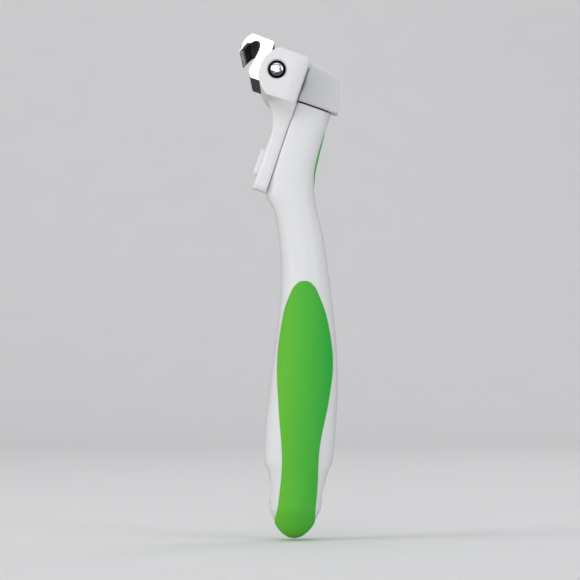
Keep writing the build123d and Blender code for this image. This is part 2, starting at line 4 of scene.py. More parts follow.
import bmesh
import bpy
import numpy as np
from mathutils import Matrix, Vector


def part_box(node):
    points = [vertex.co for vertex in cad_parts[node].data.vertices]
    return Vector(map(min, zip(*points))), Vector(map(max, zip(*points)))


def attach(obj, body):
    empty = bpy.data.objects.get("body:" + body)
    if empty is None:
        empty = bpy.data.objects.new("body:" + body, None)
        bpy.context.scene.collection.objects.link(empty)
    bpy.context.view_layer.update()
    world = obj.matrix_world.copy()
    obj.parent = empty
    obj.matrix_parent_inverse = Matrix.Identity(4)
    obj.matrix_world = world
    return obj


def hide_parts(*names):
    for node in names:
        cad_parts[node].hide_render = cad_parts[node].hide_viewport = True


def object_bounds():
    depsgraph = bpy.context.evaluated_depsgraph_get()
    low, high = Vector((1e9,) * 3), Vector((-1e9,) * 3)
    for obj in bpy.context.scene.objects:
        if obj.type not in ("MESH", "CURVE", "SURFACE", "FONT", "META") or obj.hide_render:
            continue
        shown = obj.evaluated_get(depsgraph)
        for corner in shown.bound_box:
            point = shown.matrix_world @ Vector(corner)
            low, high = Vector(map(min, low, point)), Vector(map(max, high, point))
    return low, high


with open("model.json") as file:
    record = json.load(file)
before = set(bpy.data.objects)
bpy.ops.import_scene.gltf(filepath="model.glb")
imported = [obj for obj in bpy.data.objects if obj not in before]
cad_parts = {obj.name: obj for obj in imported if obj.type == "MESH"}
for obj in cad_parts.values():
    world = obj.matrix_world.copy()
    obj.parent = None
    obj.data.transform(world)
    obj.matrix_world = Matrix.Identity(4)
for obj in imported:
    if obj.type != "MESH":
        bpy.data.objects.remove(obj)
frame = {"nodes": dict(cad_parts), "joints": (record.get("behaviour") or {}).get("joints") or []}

# The deshedding tool as it looks. Shapes are in millimetres in the frame's own axes (+Z up the
# handle, -X the front), and MM turns them into the frame's metres.
CAD_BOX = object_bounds()
MM = 0.001
NODES = frame["nodes"]
JOINTS = {joint["name"]: joint for joint in frame["joints"]}


def box_mm(node):
    """The lowest and highest corners of a CAD node, in millimetres."""
    low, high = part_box(node)
    return Vector(low) / MM, Vector(high) / MM


# ------------------------------------------------------------ the head's frame
# v is forward out of the head's flat back, u is up it, and both are 0 on the end screws' axis.
UP = Vector(JOINTS["head_slide"]["axis"]).normalized()
FORWARD = -Vector(JOINTS["button_press"]["axis"]).normalized()
screw_low, screw_high = box_mm("end_cap_screws")
SCREW_AXIS = (screw_low + screw_high) / 2
TILT = acos(UP.z)
SEAM = -9.7                     # v of the neck's flat front
HEAD_BACK = -9.62               # v of the head's flat back
HEAD_HALF = (box_mm("end_cap_right")[1]).y
HANDLE_AXIS_X = 1.5             # x of an upright line that stays inside the handle
ACROSS = Vector((0, 1, 0))


def head_at(v, u, y=0.0):
    """The point v forward and u up, y across, in millimetres."""
    return Vector((SCREW_AXIS.x, y, SCREW_AXIS.z)) + FORWARD * v + UP * u


def to_head(point):
    """(v, u) of a point in millimetres."""
    apart = Vector((point[0] - SCREW_AXIS.x, 0, point[2] - SCREW_AXIS.z))
    return apart.dot(FORWARD), apart.dot(UP)


# ------------------------------------------------------------ mesh helpers
def new_object(name, vertices, faces):
    """A mesh object from points in millimetres."""
    mesh = bpy.data.meshes.new(name)
    mesh.from_pydata([Vector(v) * MM for v in vertices], [], faces)
    made = bpy.data.objects.new(name, mesh)
    bpy.context.scene.collection.objects.link(made)
    work = bmesh.new()
    work.from_mesh(mesh)
    bmesh.ops.remove_doubles(work, verts=work.verts, dist=0.002 * MM)
    bmesh.ops.recalc_face_normals(work, faces=work.faces)
    work.to_mesh(mesh)
    work.free()
    return made


def loft(name, rings, closed=False):
    """A solid through rings of equally many points, with its ends filled or joined to each other."""
    count = len(rings[0])
    vertices = [point for ring in rings for point in ring]
    faces = []
    for r in range(len(rings) if closed else len(rings) - 1):
        for k in range(count):
            after = (k + 1) % count
            a, b = r * count, (r + 1) % len(rings) * count
            faces.append((a + k, a + after, b + after, b + k))
    if not closed:
        last = (len(rings) - 1) * count
        faces.append(tuple(range(count - 1, -1, -1)))
        faces.append(tuple(range(last, last + count)))
    return new_object(name, vertices, faces)


def thicken(made, thickness):
    """Gives an open skin round the handle a thickness, inward from its outer side."""
    work = bmesh.new()
    work.from_mesh(made.data)
    axis = Vector((HANDLE_AXIS_X * MM, 0, 0))
    facing = 0.0
    for face in work.faces:
        away = (face.calc_center_median() - axis) * Vector((1, 1, 0))
        facing += face.calc_area() * face.normal.dot(away)
    if facing < 0:
        bmesh.ops.reverse_faces(work, faces=work.faces)
    work.to_mesh(made.data)
    work.free()
    solid = made.modifiers.new("thickness", "SOLIDIFY")
    solid.thickness = thickness * MM
    solid.offset = -1
    bpy.context.view_layer.update()
    apply_modifiers(made)


def apply_modifiers(made):
    """Bakes an object's modifiers into its mesh."""
    depsgraph = bpy.context.evaluated_depsgraph_get()
    mesh = bpy.data.meshes.new_from_object(made.evaluated_get(depsgraph))
    made.modifiers.clear()
    old = made.data
    made.data = mesh
    bpy.data.meshes.remove(old)


def combine(made, other, operation):
    """A boolean of two solids, which uses up the other one."""
    modifier = made.modifiers.new("boolean", "BOOLEAN")
    modifier.object = other
    modifier.operation = operation
    modifier.solver = "EXACT"
    bpy.context.view_layer.update()
    apply_modifiers(made)
    mesh = other.data
    bpy.data.objects.remove(other)
    bpy.data.meshes.remove(mesh)


def block(corner_points):
    """A box-like cutter from eight points: four round the bottom, then four round the top."""
    return loft("cutter", (corner_points[:4], corner_points[4:]))


def head_block(v_low, v_high, u_low, u_high, width):
    """A cutter that is square to the head."""
    corners = []
    for u in (u_low, u_high):
        for v, side in ((v_low, -1), (v_high, -1), (v_high, 1), (v_low, 1)):
            corners.append(head_at(v, u, side * width / 2))
    return block(corners)


def column(centre, along, radius, length, points=48):
    """A round cutter with its middle at a point."""
    across = along.orthogonal().normalized()
    other = along.cross(across)
    angles = [2 * pi * k / points for k in range(points)]
    rings = []
    for end in (-0.5, 0.5):
        middle = centre + along * length * end
        rings.append([middle + (across * cos(a) + other * sin(a)) * radius for a in angles])
    return loft("cutter", rings)


def arc(centre, radius, start, end, steps):
    """Points of an arc in two dimensions, angles in degrees."""
    points = []
    for k in range(steps + 1):
        angle = radians(start + (end - start) * k / steps)
        points.append((centre[0] + radius * cos(angle), centre[1] + radius * sin(angle)))
    return points


SMALLEST_ROUND = 0.0005         # a corner keeps at least this radius, so its points stay apart


def round_corners(corners, steps=5, inset=0.0):
    """A closed convex outline from (x, y, radius) corners, each rounded by its radius.

    An inset draws the whole outline in, and the corners' radii shrink with it.
    """
    outline = []
    count = len(corners)
    for k in range(count):
        x, y, radius = corners[k]
        here = Vector((x, y))
        before = (Vector(corners[k - 1][:2]) - here).normalized()
        after = (Vector(corners[(k + 1) % count][:2]) - here).normalized()
        half = before.angle(after) / 2
        inward = (before + after).normalized()
        here = here + inward * (inset / sin(half))
        radius = max(radius - inset, SMALLEST_ROUND)
        reach = radius / tan(half)
        start, end = here + before * reach, here + after * reach
        centre = here + inward * (radius / sin(half))
        from_angle = (start - centre).angle_signed(Vector((1, 0)))
        turn = (end - centre).angle_signed(start - centre)
        for s in range(steps + 1):
            angle = from_angle + turn * s / steps
            outline.append((centre.x + radius * cos(angle), centre.y + radius * sin(angle)))
    return outline


def spline(points, steps):
    """A smooth open curve through two-dimensional points (Catmull-Rom)."""
    curve = []
    padded = [points[0], *points, points[-1]]
    for k in range(1, len(padded) - 2):
        p0, p1, p2, p3 = (Vector(p) for p in padded[k - 1:k + 3])
        for s in range(steps):
            t = s / steps
            curve.append(tuple(
                0.5 * ((2 * p1) + (p2 - p0) * t + (2 * p0 - 5 * p1 + 4 * p2 - p3) * t * t
                       + (3 * p1 - p0 - 3 * p2 + p3) * t * t * t)
            ))
    curve.append(points[-1])
    return curve


def drawn_in(outline, inset):
    """A free outline, listed anticlockwise or not, with every point moved in along its normal."""
    count = len(outline)
    area = 0.0
    for k in range(count):
        (x0, y0), (x1, y1) = outline[k], outline[(k + 1) % count]
        area += x0 * y1 - x1 * y0
    turn = 1 if area > 0 else -1
    moved = []
    for k in range(count):
        before = (Vector(outline[k]) - Vector(outline[k - 1])).normalized()
        after = (Vector(outline[(k + 1) % count]) - Vector(outline[k])).normalized()
        along = (before + after).normalized()
        moved.append(Vector(outline[k]) - Vector((along.y, -along.x)) * turn * inset)
    return moved


def prism(name, outline_at, place, start, end, edge_round, steps=4):
    """A solid from start to end with rounded end edges.

    outline_at(inset) gives the outline drawn in by inset, place(x, y, along) a point of the solid.
    """
    rings = []
    for end_at, inward in ((start, 1), (end, -1)):
        turns = range(steps + 1) if inward > 0 else range(steps, -1, -1)
        for s in turns:
            angle = pi / 2 * s / steps
            outline = outline_at(edge_round * (1 - sin(angle)))
            along = end_at + inward * edge_round * (1 - cos(angle))
            rings.append([place(x, y, along) for x, y in outline])
    return loft(name, rings)


def smooth(made, angle):
    """Smooth shading, with edges sharper than an angle left sharp and flat faces shaded flat."""
    for face in made.data.polygons:
        face.use_smooth = True
    made.data.set_sharp_from_angle(angle=radians(angle))
    normals = made.modifiers.new("normals", "WEIGHTED_NORMAL")
    normals.keep_sharp = True


def soften(made, width, angle):
    """A small round on every edge sharper than an angle, made before the shading is set."""
    bevel = made.modifiers.new("soften", "BEVEL")
    bevel.width = width * MM
    bevel.segments = 2
    bevel.limit_method = "ANGLE"
    bevel.angle_limit = radians(angle)
    bevel.miter_outer = "MITER_ARC"


def across_head(x, y, along):
    """Places a (v, u) outline along Y."""
    return head_at(x, y, along)


# ------------------------------------------------------------ the handle's form
# (z, front x, back x, half width, exponent of the oval), down from the neck to the butt
STATIONS = (
    (138, -3.0, 13.8, 11.5, 3.2),
    (124, -7.8, 9.1, 11.4, 3.2),
    (113, -10.6, 6.4, 11.2, 3.1),
    (105, -11.0, 6.15, 11.1, 3.0),
    (99, -8.1, 7.1, 11.0, 2.8),
    (91, -6.6, 9.1, 10.9, 2.6),
    (79, -5.7, 10.95, 11.1, 2.4),
    (66, -6.1, 12.6, 11.8, 2.3),
    (52, -7.7, 13.95, 12.7, 2.2),
    (38, -9.5, 14.45, 13.0, 2.2),
    (24, -11.1, 13.85, 12.3, 2.2),
    (10.6, -11.5, 12.6, 10.8, 2.2),
    (6.5, -10.05, 10.95, 10.3, 2.2),
    (0, -9.35, 9.35, 9.9, 2.2),
    (-6, -9.8, 8.6, 9.5, 2.1),
)
TOP_Z, ROUND_Z = STATIONS[0][0], STATIONS[-1][0]
BUTT_Z = -16.2                  # the lowest point of the handle under the grip
ROUND_FALL = 0.16               # how much the sides of the rounded end still slope where it starts


def between(t, run, first, second, slope_first, slope_second):
    """A value a share t of the way over a run, smooth between two values with their slopes."""
    return (
        (2 * t**3 - 3 * t**2 + 1) * first + (t**3 - 2 * t**2 + t) * run * slope_first
        + (-2 * t**3 + 3 * t**2) * second + (t**3 - t**2) * run * slope_second
    )


def station(z):
    """(front x, back x, half width, exponent) at a height, smooth between the stations."""
    if z <= ROUND_Z:
        front, back, half_width, power = STATIONS[-1][1:]
        deep = min((ROUND_Z - z) / (ROUND_Z - BUTT_Z), 1.0)
        left = 1 - deep
        share = sqrt(left * (1 + ROUND_FALL - ROUND_FALL * left))
        middle = (front + back) / 2 - 0.4 * deep
        half_depth = (back - front) / 2 * share
        return [middle - half_depth, middle + half_depth, half_width * share, power - 0.1 * deep]
    z = min(z, TOP_Z)
    k = 0
    while k < len(STATIONS) - 2 and STATIONS[k + 1][0] > z:
        k += 1
    above, first, second = STATIONS[max(k - 1, 0)], STATIONS[k], STATIONS[k + 1]
    under = STATIONS[min(k + 2, len(STATIONS) - 1)]
    run = second[0] - first[0]
    t = (z - first[0]) / run
    values = []
    for i in range(1, 5):
        slope_first = (second[i] - above[i]) / (second[0] - above[0])
        slope_second = (under[i] - first[i]) / (under[0] - first[0])
        if under is second:
            slope_second = 0.0
        values.append(between(t, run, first[i], second[i], slope_first, slope_second))
    return values


def seam_x(z):
    """x of the neck's flat front at a height."""
    u = (z - SCREW_AXIS.z - FORWARD.z * SEAM) / UP.z
    return SCREW_AXIS.x + FORWARD.x * SEAM + UP.x * u


CHIN_Z = head_at(SEAM, -40.9).z


def on_oval(z, angle, grow=0.0):
    """(x, y) on the handle's outside. The angle runs from 0 at the front to pi at the back."""
    front, back, half_width, power = station(z)
    c, s = cos(angle), sin(angle)
    x = (front + back) / 2 - ((back - front) / 2 + grow) * abs(c) ** (2 / power) * (1 if c > 0 else -1)
    y = (half_width + grow) * max(s, 0.0) ** (2 / power)
    return x, y


def oval_angle(z, x):
    """The angle at which the handle's outside reaches x."""
    front, back, half_width, power = station(z)
    share = ((front + back) / 2 - x) / ((back - front) / 2)
    share = min(max(share, -1.0), 1.0)
    c = abs(share) ** (power / 2) * (1 if share > 0 else -1)
    return acos(min(max(c, -1.0), 1.0))


def surface(z, angle):
    """A point on the handle's outside."""
    x, y = on_oval(z, angle)
    return Vector((x, y, z))


def outward(z, angle):
    """The outward direction of the handle's outside, by small steps round and along it."""
    angle = min(max(angle, 0.02), pi - 0.02)
    z = min(max(z, BUTT_Z + 0.03), TOP_Z - 0.03)
    around = surface(z, angle + 0.01) - surface(z, angle - 0.01)
    along = surface(z + 0.02, angle) - surface(z - 0.02, angle)
    return along.cross(around).normalized()


NECK_ROUND = 0.95               # round on the edges of the neck's flat front
SEAM_LIP = 0.14                 # how far the shells' edges roll in at their parting line
LEAN_FROM, LEAN_OVER = 114, 14  # over these heights the rings tip up until they are square to the neck
CHIN_BLEND = 14                 # height below the chin over which the flat front's columns spread out
FLAT_STEPS, ROUND_STEPS, OVAL_STEPS = 9, 7, 44


def ring_heights():
    """Heights of the shells' rings, from the neck's top to the butt, closer where the form turns."""
    heights = []
    z = TOP_Z
    while z > BUTT_Z + 0.05:
        heights.append(z)
        if z < -13:
            z -= 0.3
        elif z < 13 or CHIN_Z - 2 < z < CHIN_Z + 3:
            z -= 0.7
        else:
            z -= 1.1
    heights.append(BUTT_Z + 0.02)
    return heights


def neck_ring(z):
    """Half a ring above the chin: the flat front, the round at its edge and the oval behind."""
    start = max(oval_angle(z, seam_x(z)), 0.02)
    flat_edge = on_oval(z, start)[1]
    corner = min(NECK_ROUND, 0.35 * flat_edge)
    pace = (Vector(on_oval(z, start + 0.04)) - Vector(on_oval(z, start))).length / 0.04
    first = start + corner / max(pace, 1.0)
    front = station(z)[1]
    lean = min(max((z - LEAN_FROM) / LEAN_OVER, 0.0), 1.0) * tan(TILT)

    def on_flat(level, y):
        return seam_x(level), y

    def on_round(level, share):
        tip = Vector((seam_x(level), flat_edge))
        flat_end = Vector((tip.x, flat_edge - corner))
        oval_end = Vector(on_oval(level, first))
        return flat_end * (1 - share) ** 2 + tip * 2 * share * (1 - share) + oval_end * share**2

    def behind(level, angle):
        x, y = on_oval(level, angle)
        return max(x, seam_x(level)), y

    columns = [(on_flat, (flat_edge - corner) * k / FLAT_STEPS) for k in range(FLAT_STEPS)]
    columns += [(on_round, k / ROUND_STEPS) for k in range(ROUND_STEPS)]
    columns += [(behind, first + (pi - first) * k / OVAL_STEPS) for k in range(OVAL_STEPS + 1)]
    ring = []
    for place, value in columns:
        # the further back a point lies, the lower it is on a ring that tips up
        level = z
        for _ in range(3):
            x, y = place(level, value)
            level = z - (x - front) * lean
        ring.append([x, y, level])
    return ring


def body_ring(z):
    """Half a ring below the chin, with columns that carry on from those of a neck ring."""
    below = min((CHIN_Z - z) / CHIN_BLEND, 1.0)
    split = 0.03 + 0.6 * below * below * (3 - 2 * below)
    angles = [0.7 * split * k / FLAT_STEPS for k in range(FLAT_STEPS)]
    angles += [split * (0.7 + 0.3 * k / ROUND_STEPS) for k in range(ROUND_STEPS)]
    angles += [split + (pi - split) * k / OVAL_STEPS for k in range(OVAL_STEPS + 1)]
    return [[*on_oval(z, angle), z] for angle in angles]


def shell_half(side, name):
    """One solid half of the handle, with the neck's flat front and a rolled edge at the split."""
    rings = []
    for z in ring_heights():
        ring = neck_ring(z) if z > CHIN_Z else body_ring(z)
        ring[0][0] += SEAM_LIP
        ring[-1][0] -= SEAM_LIP
        rings.append([Vector((x, side * max(y, 0.012), level)) for x, y, level in ring])
    made = loft(name, rings)
    # the top under the cap is cut square to the neck
    combine(made, head_block(-45, 20, -6.6, 30, 60), "DIFFERENCE")
    return made


def cut_neck(made):
    """Opens the neck for the core and its rail's stem, and the butt for the eyelet."""
    core_room = head_block(-19.5, -12.0, -39.3, 6, 15.0)
    stem_slot = head_block(-13.0, 0.0, -38.6, 6, 10.2)
    eyelet_hole = column(Vector((0, 0, 0)), Vector((1, 0, 0)), EYELET_R + 0.05, 60)
    for cutter in (core_room, stem_slot, eyelet_hole):
        combine(made, cutter, "DIFFERENCE")


eyelet_low, eyelet_high = box_mm("hang_eyelet")
EYELET_R = (eyelet_high.z - eyelet_low.z) / 2


def skin_x(y, z, back):
    """x of the handle's front or back at a point across and up."""
    front_x, back_x, half_width, power = station(z)
    reach = (back_x - front_x) / 2 * (1 - (abs(y) / half_width) ** power) ** (1 / power)
    return (front_x + back_x) / 2 + (reach if back else -reach)


def eyelet(bore, outside):
    """The bush through the butt: its rims follow the handle and stand a little proud of it."""
    wall = outside - bore
    # (radius, height over the handle) across a rim, from its outer side to the bore
    rim = [
        (outside, -0.9), (outside, -0.05), (outside - 0.06 * wall, 0.06),
        (outside - 0.2 * wall, 0.13), (outside - 0.45 * wall, 0.16), (outside - 0.7 * wall, 0.12),
        (outside - 0.9 * wall, 0.0), (bore, -0.2), (bore, -0.9),
    ]
    angles = [2 * pi * k / 64 for k in range(64)]
    rings = []
    for back, rows in ((False, rim), (True, rim[::-1])):
        for radius, height in rows:
            rise = height if back else -height
            spots = [(radius * cos(angle), radius * sin(angle)) for angle in angles]
            rings.append([Vector((skin_x(y, z, back) + rise, y, z)) for y, z in spots])
    return loft("eyelet_bush", rings, closed=True)


# ------------------------------------------------------------ the soft grip
# The grip's front and back edges as seen from the side: (x, z).
GRIP_FRONT = (
    (-8.0, -12.4), (-6.2, 0), (-5.4, 12), (-6.6, 30), (-6.95, 46), (-4.6, 63.5),
    (-2.3, 70.2), (-0.5, 73), (2.6, 74.4),
)
GRIP_BACK = (
    (5.9, -12.4), (7.3, 1), (8.2, 16), (11.3, 32), (12.7, 46), (10.6, 61.5),
    (7.5, 70.2), (5.7, 73), (2.6, 74.4),
)
GRIP_TOP = GRIP_FRONT[-1][1]
SPINE_END = GRIP_FRONT[0][1]
GRIP_RISE = 0.45                # how far the grip stands out of the shells
GRIP_EDGE = 1.0                 # width of its rounded border
GRIP_TUCK = 0.5                 # how far its rim goes below the shells' surface
TIP_RISE, TIP_HALF, TIP_POWER = 1.4, 3.1, 0.38      # the blunt round at the grip's upper tip
SPINE_ROUND = 7.0               # over this height the white spines open from their round lower ends
SKIN = 0.9                      # thickness of the soft parts' skins


def edge_x(edge, z):
    """x of a grip edge at a height, by a smooth curve through its points."""
    k = 0
    while k < len(edge) - 2 and edge[k + 1][1] < z:
        k += 1
    p0, p1, p2, p3 = edge[max(k - 1, 0)], edge[k], edge[k + 1], edge[min(k + 2, len(edge) - 1)]
    t = (z - p1[1]) / (p2[1] - p1[1])
    slope1 = (p2[0] - p0[0]) / (p2[1] - p0[1])
    slope2 = (p3[0] - p1[0]) / (p3[1] - p1[1])
    return between(t, p2[1] - p1[1], p1[0], p2[0], slope1, slope2)


def grip_range(z):
    """The angles between which the grip covers the handle at a height."""
    if z <= SPINE_END:
        return 0.0, pi
    near_top = GRIP_TOP - z
    if near_top < TIP_RISE:
        # the tip is a round of its own
        half = TIP_HALF * (max(near_top, 0.0) / TIP_RISE) ** TIP_POWER
        front_x, back_x = GRIP_FRONT[-1][0] - half, GRIP_FRONT[-1][0] + half
    else:
        front_x, back_x = edge_x(GRIP_FRONT, z), edge_x(GRIP_BACK, z)
    # the white spines narrow to a round end at the butt
    opening = min((z - SPINE_END) / SPINE_ROUND, 1.0)
    opening = sqrt(max(1 - (1 - opening) ** 2, 0.0))
    front_angle, back_angle = oval_angle(z, front_x), oval_angle(z, back_x)
    return front_angle * opening, pi - (pi - back_angle) * opening


def rim_height(distance):
    """Height of the grip over the shells at a distance from its border."""
    t = min(max(distance, 0.0) / GRIP_EDGE, 1.0)
    return -GRIP_TUCK + (GRIP_RISE + GRIP_TUCK) * sqrt(1 - (1 - t) ** 2)


def grip_half(side, rows, border):
    """Rows of points over one side of the grip."""
    columns = 40
    grid = []
    for z in rows:
        first, last = grip_range(z)
        row = []
        for k in range(columns + 1):
            t = k / columns
            t = 0.5 - 0.5 * cos(pi * t)
            angle = first + (last - first) * t
            here = surface(z, angle)
            near = distance_to(border, here)
            made = here + outward(z, angle) * rim_height(near)
            if k in (0, columns) and (first, last) == (0.0, pi):
                made.y = 0.0
            row.append(Vector((made.x, side * max(made.y, 0.0), made.z)))
        grid.append(row)
    return grid


def border_lines():
    """The grip's border on the handle's surface, on the positive side, as short straight lines."""
    heights = []
    z = SPINE_END + 0.001
    while z < GRIP_TOP - TIP_RISE:
        heights.append(z)
        z += 0.06 if z < SPINE_END + 1.2 else 0.25
    heights += [GRIP_TOP - TIP_RISE * (k / 40) ** 2.5 for k in range(40, -1, -1)]
    front = [surface(z, grip_range(z)[0]) for z in heights]
    back = [surface(z, grip_range(z)[1]) for z in heights]
    chain = np.array(front + back[::-1])
    return chain[:-1], chain[1:] - chain[:-1]


def distance_to(lines, point):
    """The shortest distance from a point to any of the lines."""
    starts, runs = lines
    apart = np.array(point) - starts
    lengths = np.maximum((runs * runs).sum(axis=1), 1e-12)
    along = np.clip((apart * runs).sum(axis=1) / lengths, 0.0, 1.0)
    return float(np.sqrt(((apart - runs * along[:, None]) ** 2).sum(axis=1).min()))


def soft_grip():
    """Both sides of the grip and the butt's end as one closed skin with an inside."""
    border = border_lines()
    rows = []
    z = BUTT_Z + 0.01
    while z < SPINE_END:
        rows.append(z)
        z += 0.25 if z < -15.2 else 0.5
    rows.append(SPINE_END)
    step = 0.02
    z = SPINE_END
    while z < GRIP_TOP - TIP_RISE:
        z += step
        rows.append(z)
        step = min(step * 1.5, 0.9)
        if z > GRIP_TOP - 5:
            step = 0.3
    for k in range(11, 0, -1):
        rows.append(GRIP_TOP - 1.05 * (k / 11) ** 2.0)
    vertices, faces = [], []
    for side in (-1, 1):
        grid = grip_half(side, rows, border)
        start = len(vertices)
        width = len(grid[0])
        for row in grid:
            vertices.extend(row)
        for r in range(len(grid) - 1):
            for k in range(width - 1):
                a = start + r * width + k
                faces.append((a, a + 1, a + width + 1, a + width))
    made = new_object("soft_grip_skin", vertices, faces)
    thicken(made, SKIN)
    return made


# ------------------------------------------------------------ the finger pad
PAD_MIDDLE, PAD_LENGTH, PAD_WIDTH = -23.0, 18.6, 10.4
PAD_EDGE_RISE, PAD_CROWN = 0.2, 0.1     # how far it stands out at its border, and more at its middle
NECK_BACK = -22.3               # v of the back of the neck, roughly


def neck_surface(u, y, grow):
    """The point on the back of the neck at u and y, moved out by grow."""
    z = SCREW_AXIS.z + FORWARD.z * NECK_BACK + UP.z * u
    x = 0.0
    for _ in range(4):
        front, back, half_width, power = station(z)
        share = min(abs(y) / half_width, 0.999)
        x = (front + back) / 2 + (back - front) / 2 * (1 - share**power) ** (1 / power)
        v = to_head((x, y, z))[0]
        z = SCREW_AXIS.z + FORWARD.z * v + UP.z * u
    tilt_in = 0.9 * (y / half_width) ** 3
    return Vector((x, y, z)) - FORWARD * grow + Vector((0, grow * tilt_in, 0))


def neck_pad():
    """A long round-ended pad, raised with a rounded border and a soft crown."""
    reach = (PAD_LENGTH - PAD_WIDTH) / 2
    radius = PAD_WIDTH / 2
    around = 96
    # shares of the way from the middle line to the border, closer together over the rounded border
    steps = (0.0, 0.25, 0.5, 0.7, 0.82, 0.88, 0.92, 0.95, 0.975, 0.99, 1.0)
    vertices, faces = [], []
    for s in steps:
        for k in range(around):
            angle = 2 * pi * k / around
            middle = reach if sin(angle) >= 0 else -reach
            y = radius * cos(angle) * s
            u = PAD_MIDDLE + middle + radius * sin(angle) * s
            if s == 0.0:
                u = PAD_MIDDLE + middle * abs(sin(angle))
            height = min(rim_height(radius * (1 - s)), PAD_EDGE_RISE + PAD_CROWN * (1 - s))
            vertices.append(neck_surface(u, y, height))
    for r in range(len(steps) - 1):
        for k in range(around):
            a, b = r * around, (r + 1) * around
            after = (k + 1) % around
            faces.append((a + k, a + after, b + after, b + k))
    made = new_object("neck_pad_skin", vertices, faces)
    thicken(made, SKIN)
    return made


# ------------------------------------------------------------ the head
BAR_TOP, BAR_BOTTOM = 7.55, -9.2
NOSE_R, NOSE_V, NOSE_U = 9.7, -3.9, -0.66
END_CAP = HEAD_HALF - 48.6


def nose_v(u):
    """v of the T-bar's round front at a height u."""
    return NOSE_V + sqrt(NOSE_R**2 - (u - NOSE_U) ** 2)


def bar_outline(inset=0.0, back_inset=None):
    """The D of the T-bar in (v, u): back corner, bottom, nose, top and back corner again."""
    low_corner, high_corner = 0.8, 1.7
    radius = NOSE_R - inset
    low, high = BAR_BOTTOM + inset, BAR_TOP - inset
    back = HEAD_BACK + (inset if back_inset is None else back_inset)
    start = asin((low - NOSE_U) / radius)
    end = asin((high - NOSE_U) / radius)
    nose = arc((NOSE_V, NOSE_U), radius, degrees(start) + 1.5, degrees(end) - 1.5, 30)
    bottom = NOSE_V + radius * cos(start) - 0.25
    top = NOSE_V + radius * cos(end) - 0.25
    turns = [pi / 2 * k / 6 for k in range(7)]
    lower = [(back + low_corner * (1 - cos(a)), low + low_corner * (1 - sin(a))) for a in turns]
    upper = [(back + high_corner * (1 - sin(a)), high - high_corner * (1 - cos(a))) for a in turns]
    steps = 10
    low_end, high_end = back + low_corner, back + high_corner
    along_bottom = [(low_end + (bottom - low_end) * k / steps, low) for k in range(1, steps + 1)]
    along_top = [(top + (high_end - top) * k / steps, high) for k in range(steps)]
    return lower + along_bottom + nose + along_top + upper


def arm():
    """The arm: rounded oblongs from its bottom end up into the T-bar, flaring at the gussets."""
    half, gusset, corner = 11.0, 7.0, 3.0
    bottom, sweep_start, flat_front = -40.3, -21.0, -4.6
    end_v = nose_v(BAR_BOTTOM) - 0.3
    rise = BAR_BOTTOM - sweep_start
    bulge = end_v - flat_front
    sweep_r = (bulge**2 + rise**2) / (2 * bulge)
    levels = [bottom + corner * (1 - cos(pi / 2 * k / 8)) for k in range(9)]
    levels += [sweep_start + rise * k / 26 for k in range(27)]
    levels += [BAR_BOTTOM + 1.5]
    rings = []
    for u in levels:
        width = half
        if u < bottom + corner:
            width = half - corner + sqrt(max(corner**2 - (bottom + corner - u) ** 2, 0.0))
        above = u - (BAR_BOTTOM - gusset)
        if above > 0:
            width = half + gusset - sqrt(max(gusset**2 - min(above, gusset) ** 2, 0.0))
        front = flat_front
        if u > sweep_start:
            up = min(u, BAR_BOTTOM) - sweep_start
            front += sweep_r - sqrt(max(sweep_r**2 - up**2, 0.0))
        outline = round_corners((
            (HEAD_BACK, -width, 1.4), (front, -width, 1.3),
            (front, width, 1.3), (HEAD_BACK, width, 1.4),
        ), 6)
        rings.append([head_at(v, u, y) for v, y in outline])
    return loft("arm", rings)


def head_housing():
    """T-bar and arm as one moulding, with the blade's channel, the T-slot and the window."""
    half = HEAD_HALF - END_CAP - 0.04
    made = prism("head_housing_skin", bar_outline, across_head, -half, half, 0.12, 2)
    combine(made, arm(), "UNION")
    carrier_channel = head_block(-3.6, 12, -4.6, 6.1, 110)
    blade_room = head_block(3.6, 14, -5.7, 14, 110)
    back_hollow = head_block(-12, -5.4, -7.2, 5.8, 96.9)
    rail_stem_slot = head_block(-12, -7.95, -45, -8.85, 10.3)
    rail_head_slot = head_block(-8.1, -6.05, -45, -8.85, 15.9)
    side, bottom, top, corner = 5.55, -35.45, -25.35, 1.65
    outline = round_corners((
        (-side, bottom, corner), (side, bottom, corner), (side, top, corner), (-side, top, corner),
    ), 6)
    window = loft("cutter", [[head_at(v, u, y) for y, u in outline] for v in (-9, 0)])
    for cutter in (carrier_channel, blade_room, back_hollow, rail_stem_slot, rail_head_slot, window):
        combine(made, cutter, "DIFFERENCE")
    return made


def end_cap(side, name):
    """The D-shaped end of the T-bar, with a big round at the back and a ring round the screw."""
    outer = side * HEAD_HALF
    inner = side * (HEAD_HALF - END_CAP)
    edge = 0.45                                 # round on the outline's front part
    back_depth, back_reach = 2.2, 4.2           # the long round at the back, across and forward
    blend = 6.5                                 # length over which one turns into the other
    ring_r, ring_depth, hole_r = 3.45, 0.75, 2.1
    base = bar_outline()
    # how much of the back's round each point of the outline has
    near_back = [min(max((HEAD_BACK + blend - v) / blend, 0.0), 1.0) for v, u in base]
    shares = [near * near * (3 - 2 * near) for near in near_back]
    rings = [[head_at(v, u, inner) for v, u in base]]
    steps = 8
    for s in range(steps + 1):
        turn = pi / 2 * s / steps
        outline = bar_outline(edge * (1 - cos(turn)), back_reach * (1 - cos(turn)))
        ring = []
        for (v, u), share in zip(outline, shares):
            depth = (edge + (back_depth - edge) * share) * (1 - sin(turn))
            ring.append(head_at(v, u, outer - side * depth))
        rings.append(ring)
    made = loft(name, rings)
    screw_place = head_at(0, 0, outer)
    combine(made, column(screw_place, ACROSS, ring_r, 2 * ring_depth, 72), "DIFFERENCE")
    combine(made, column(screw_place, ACROSS, hole_r, 9), "DIFFERENCE")
    return made


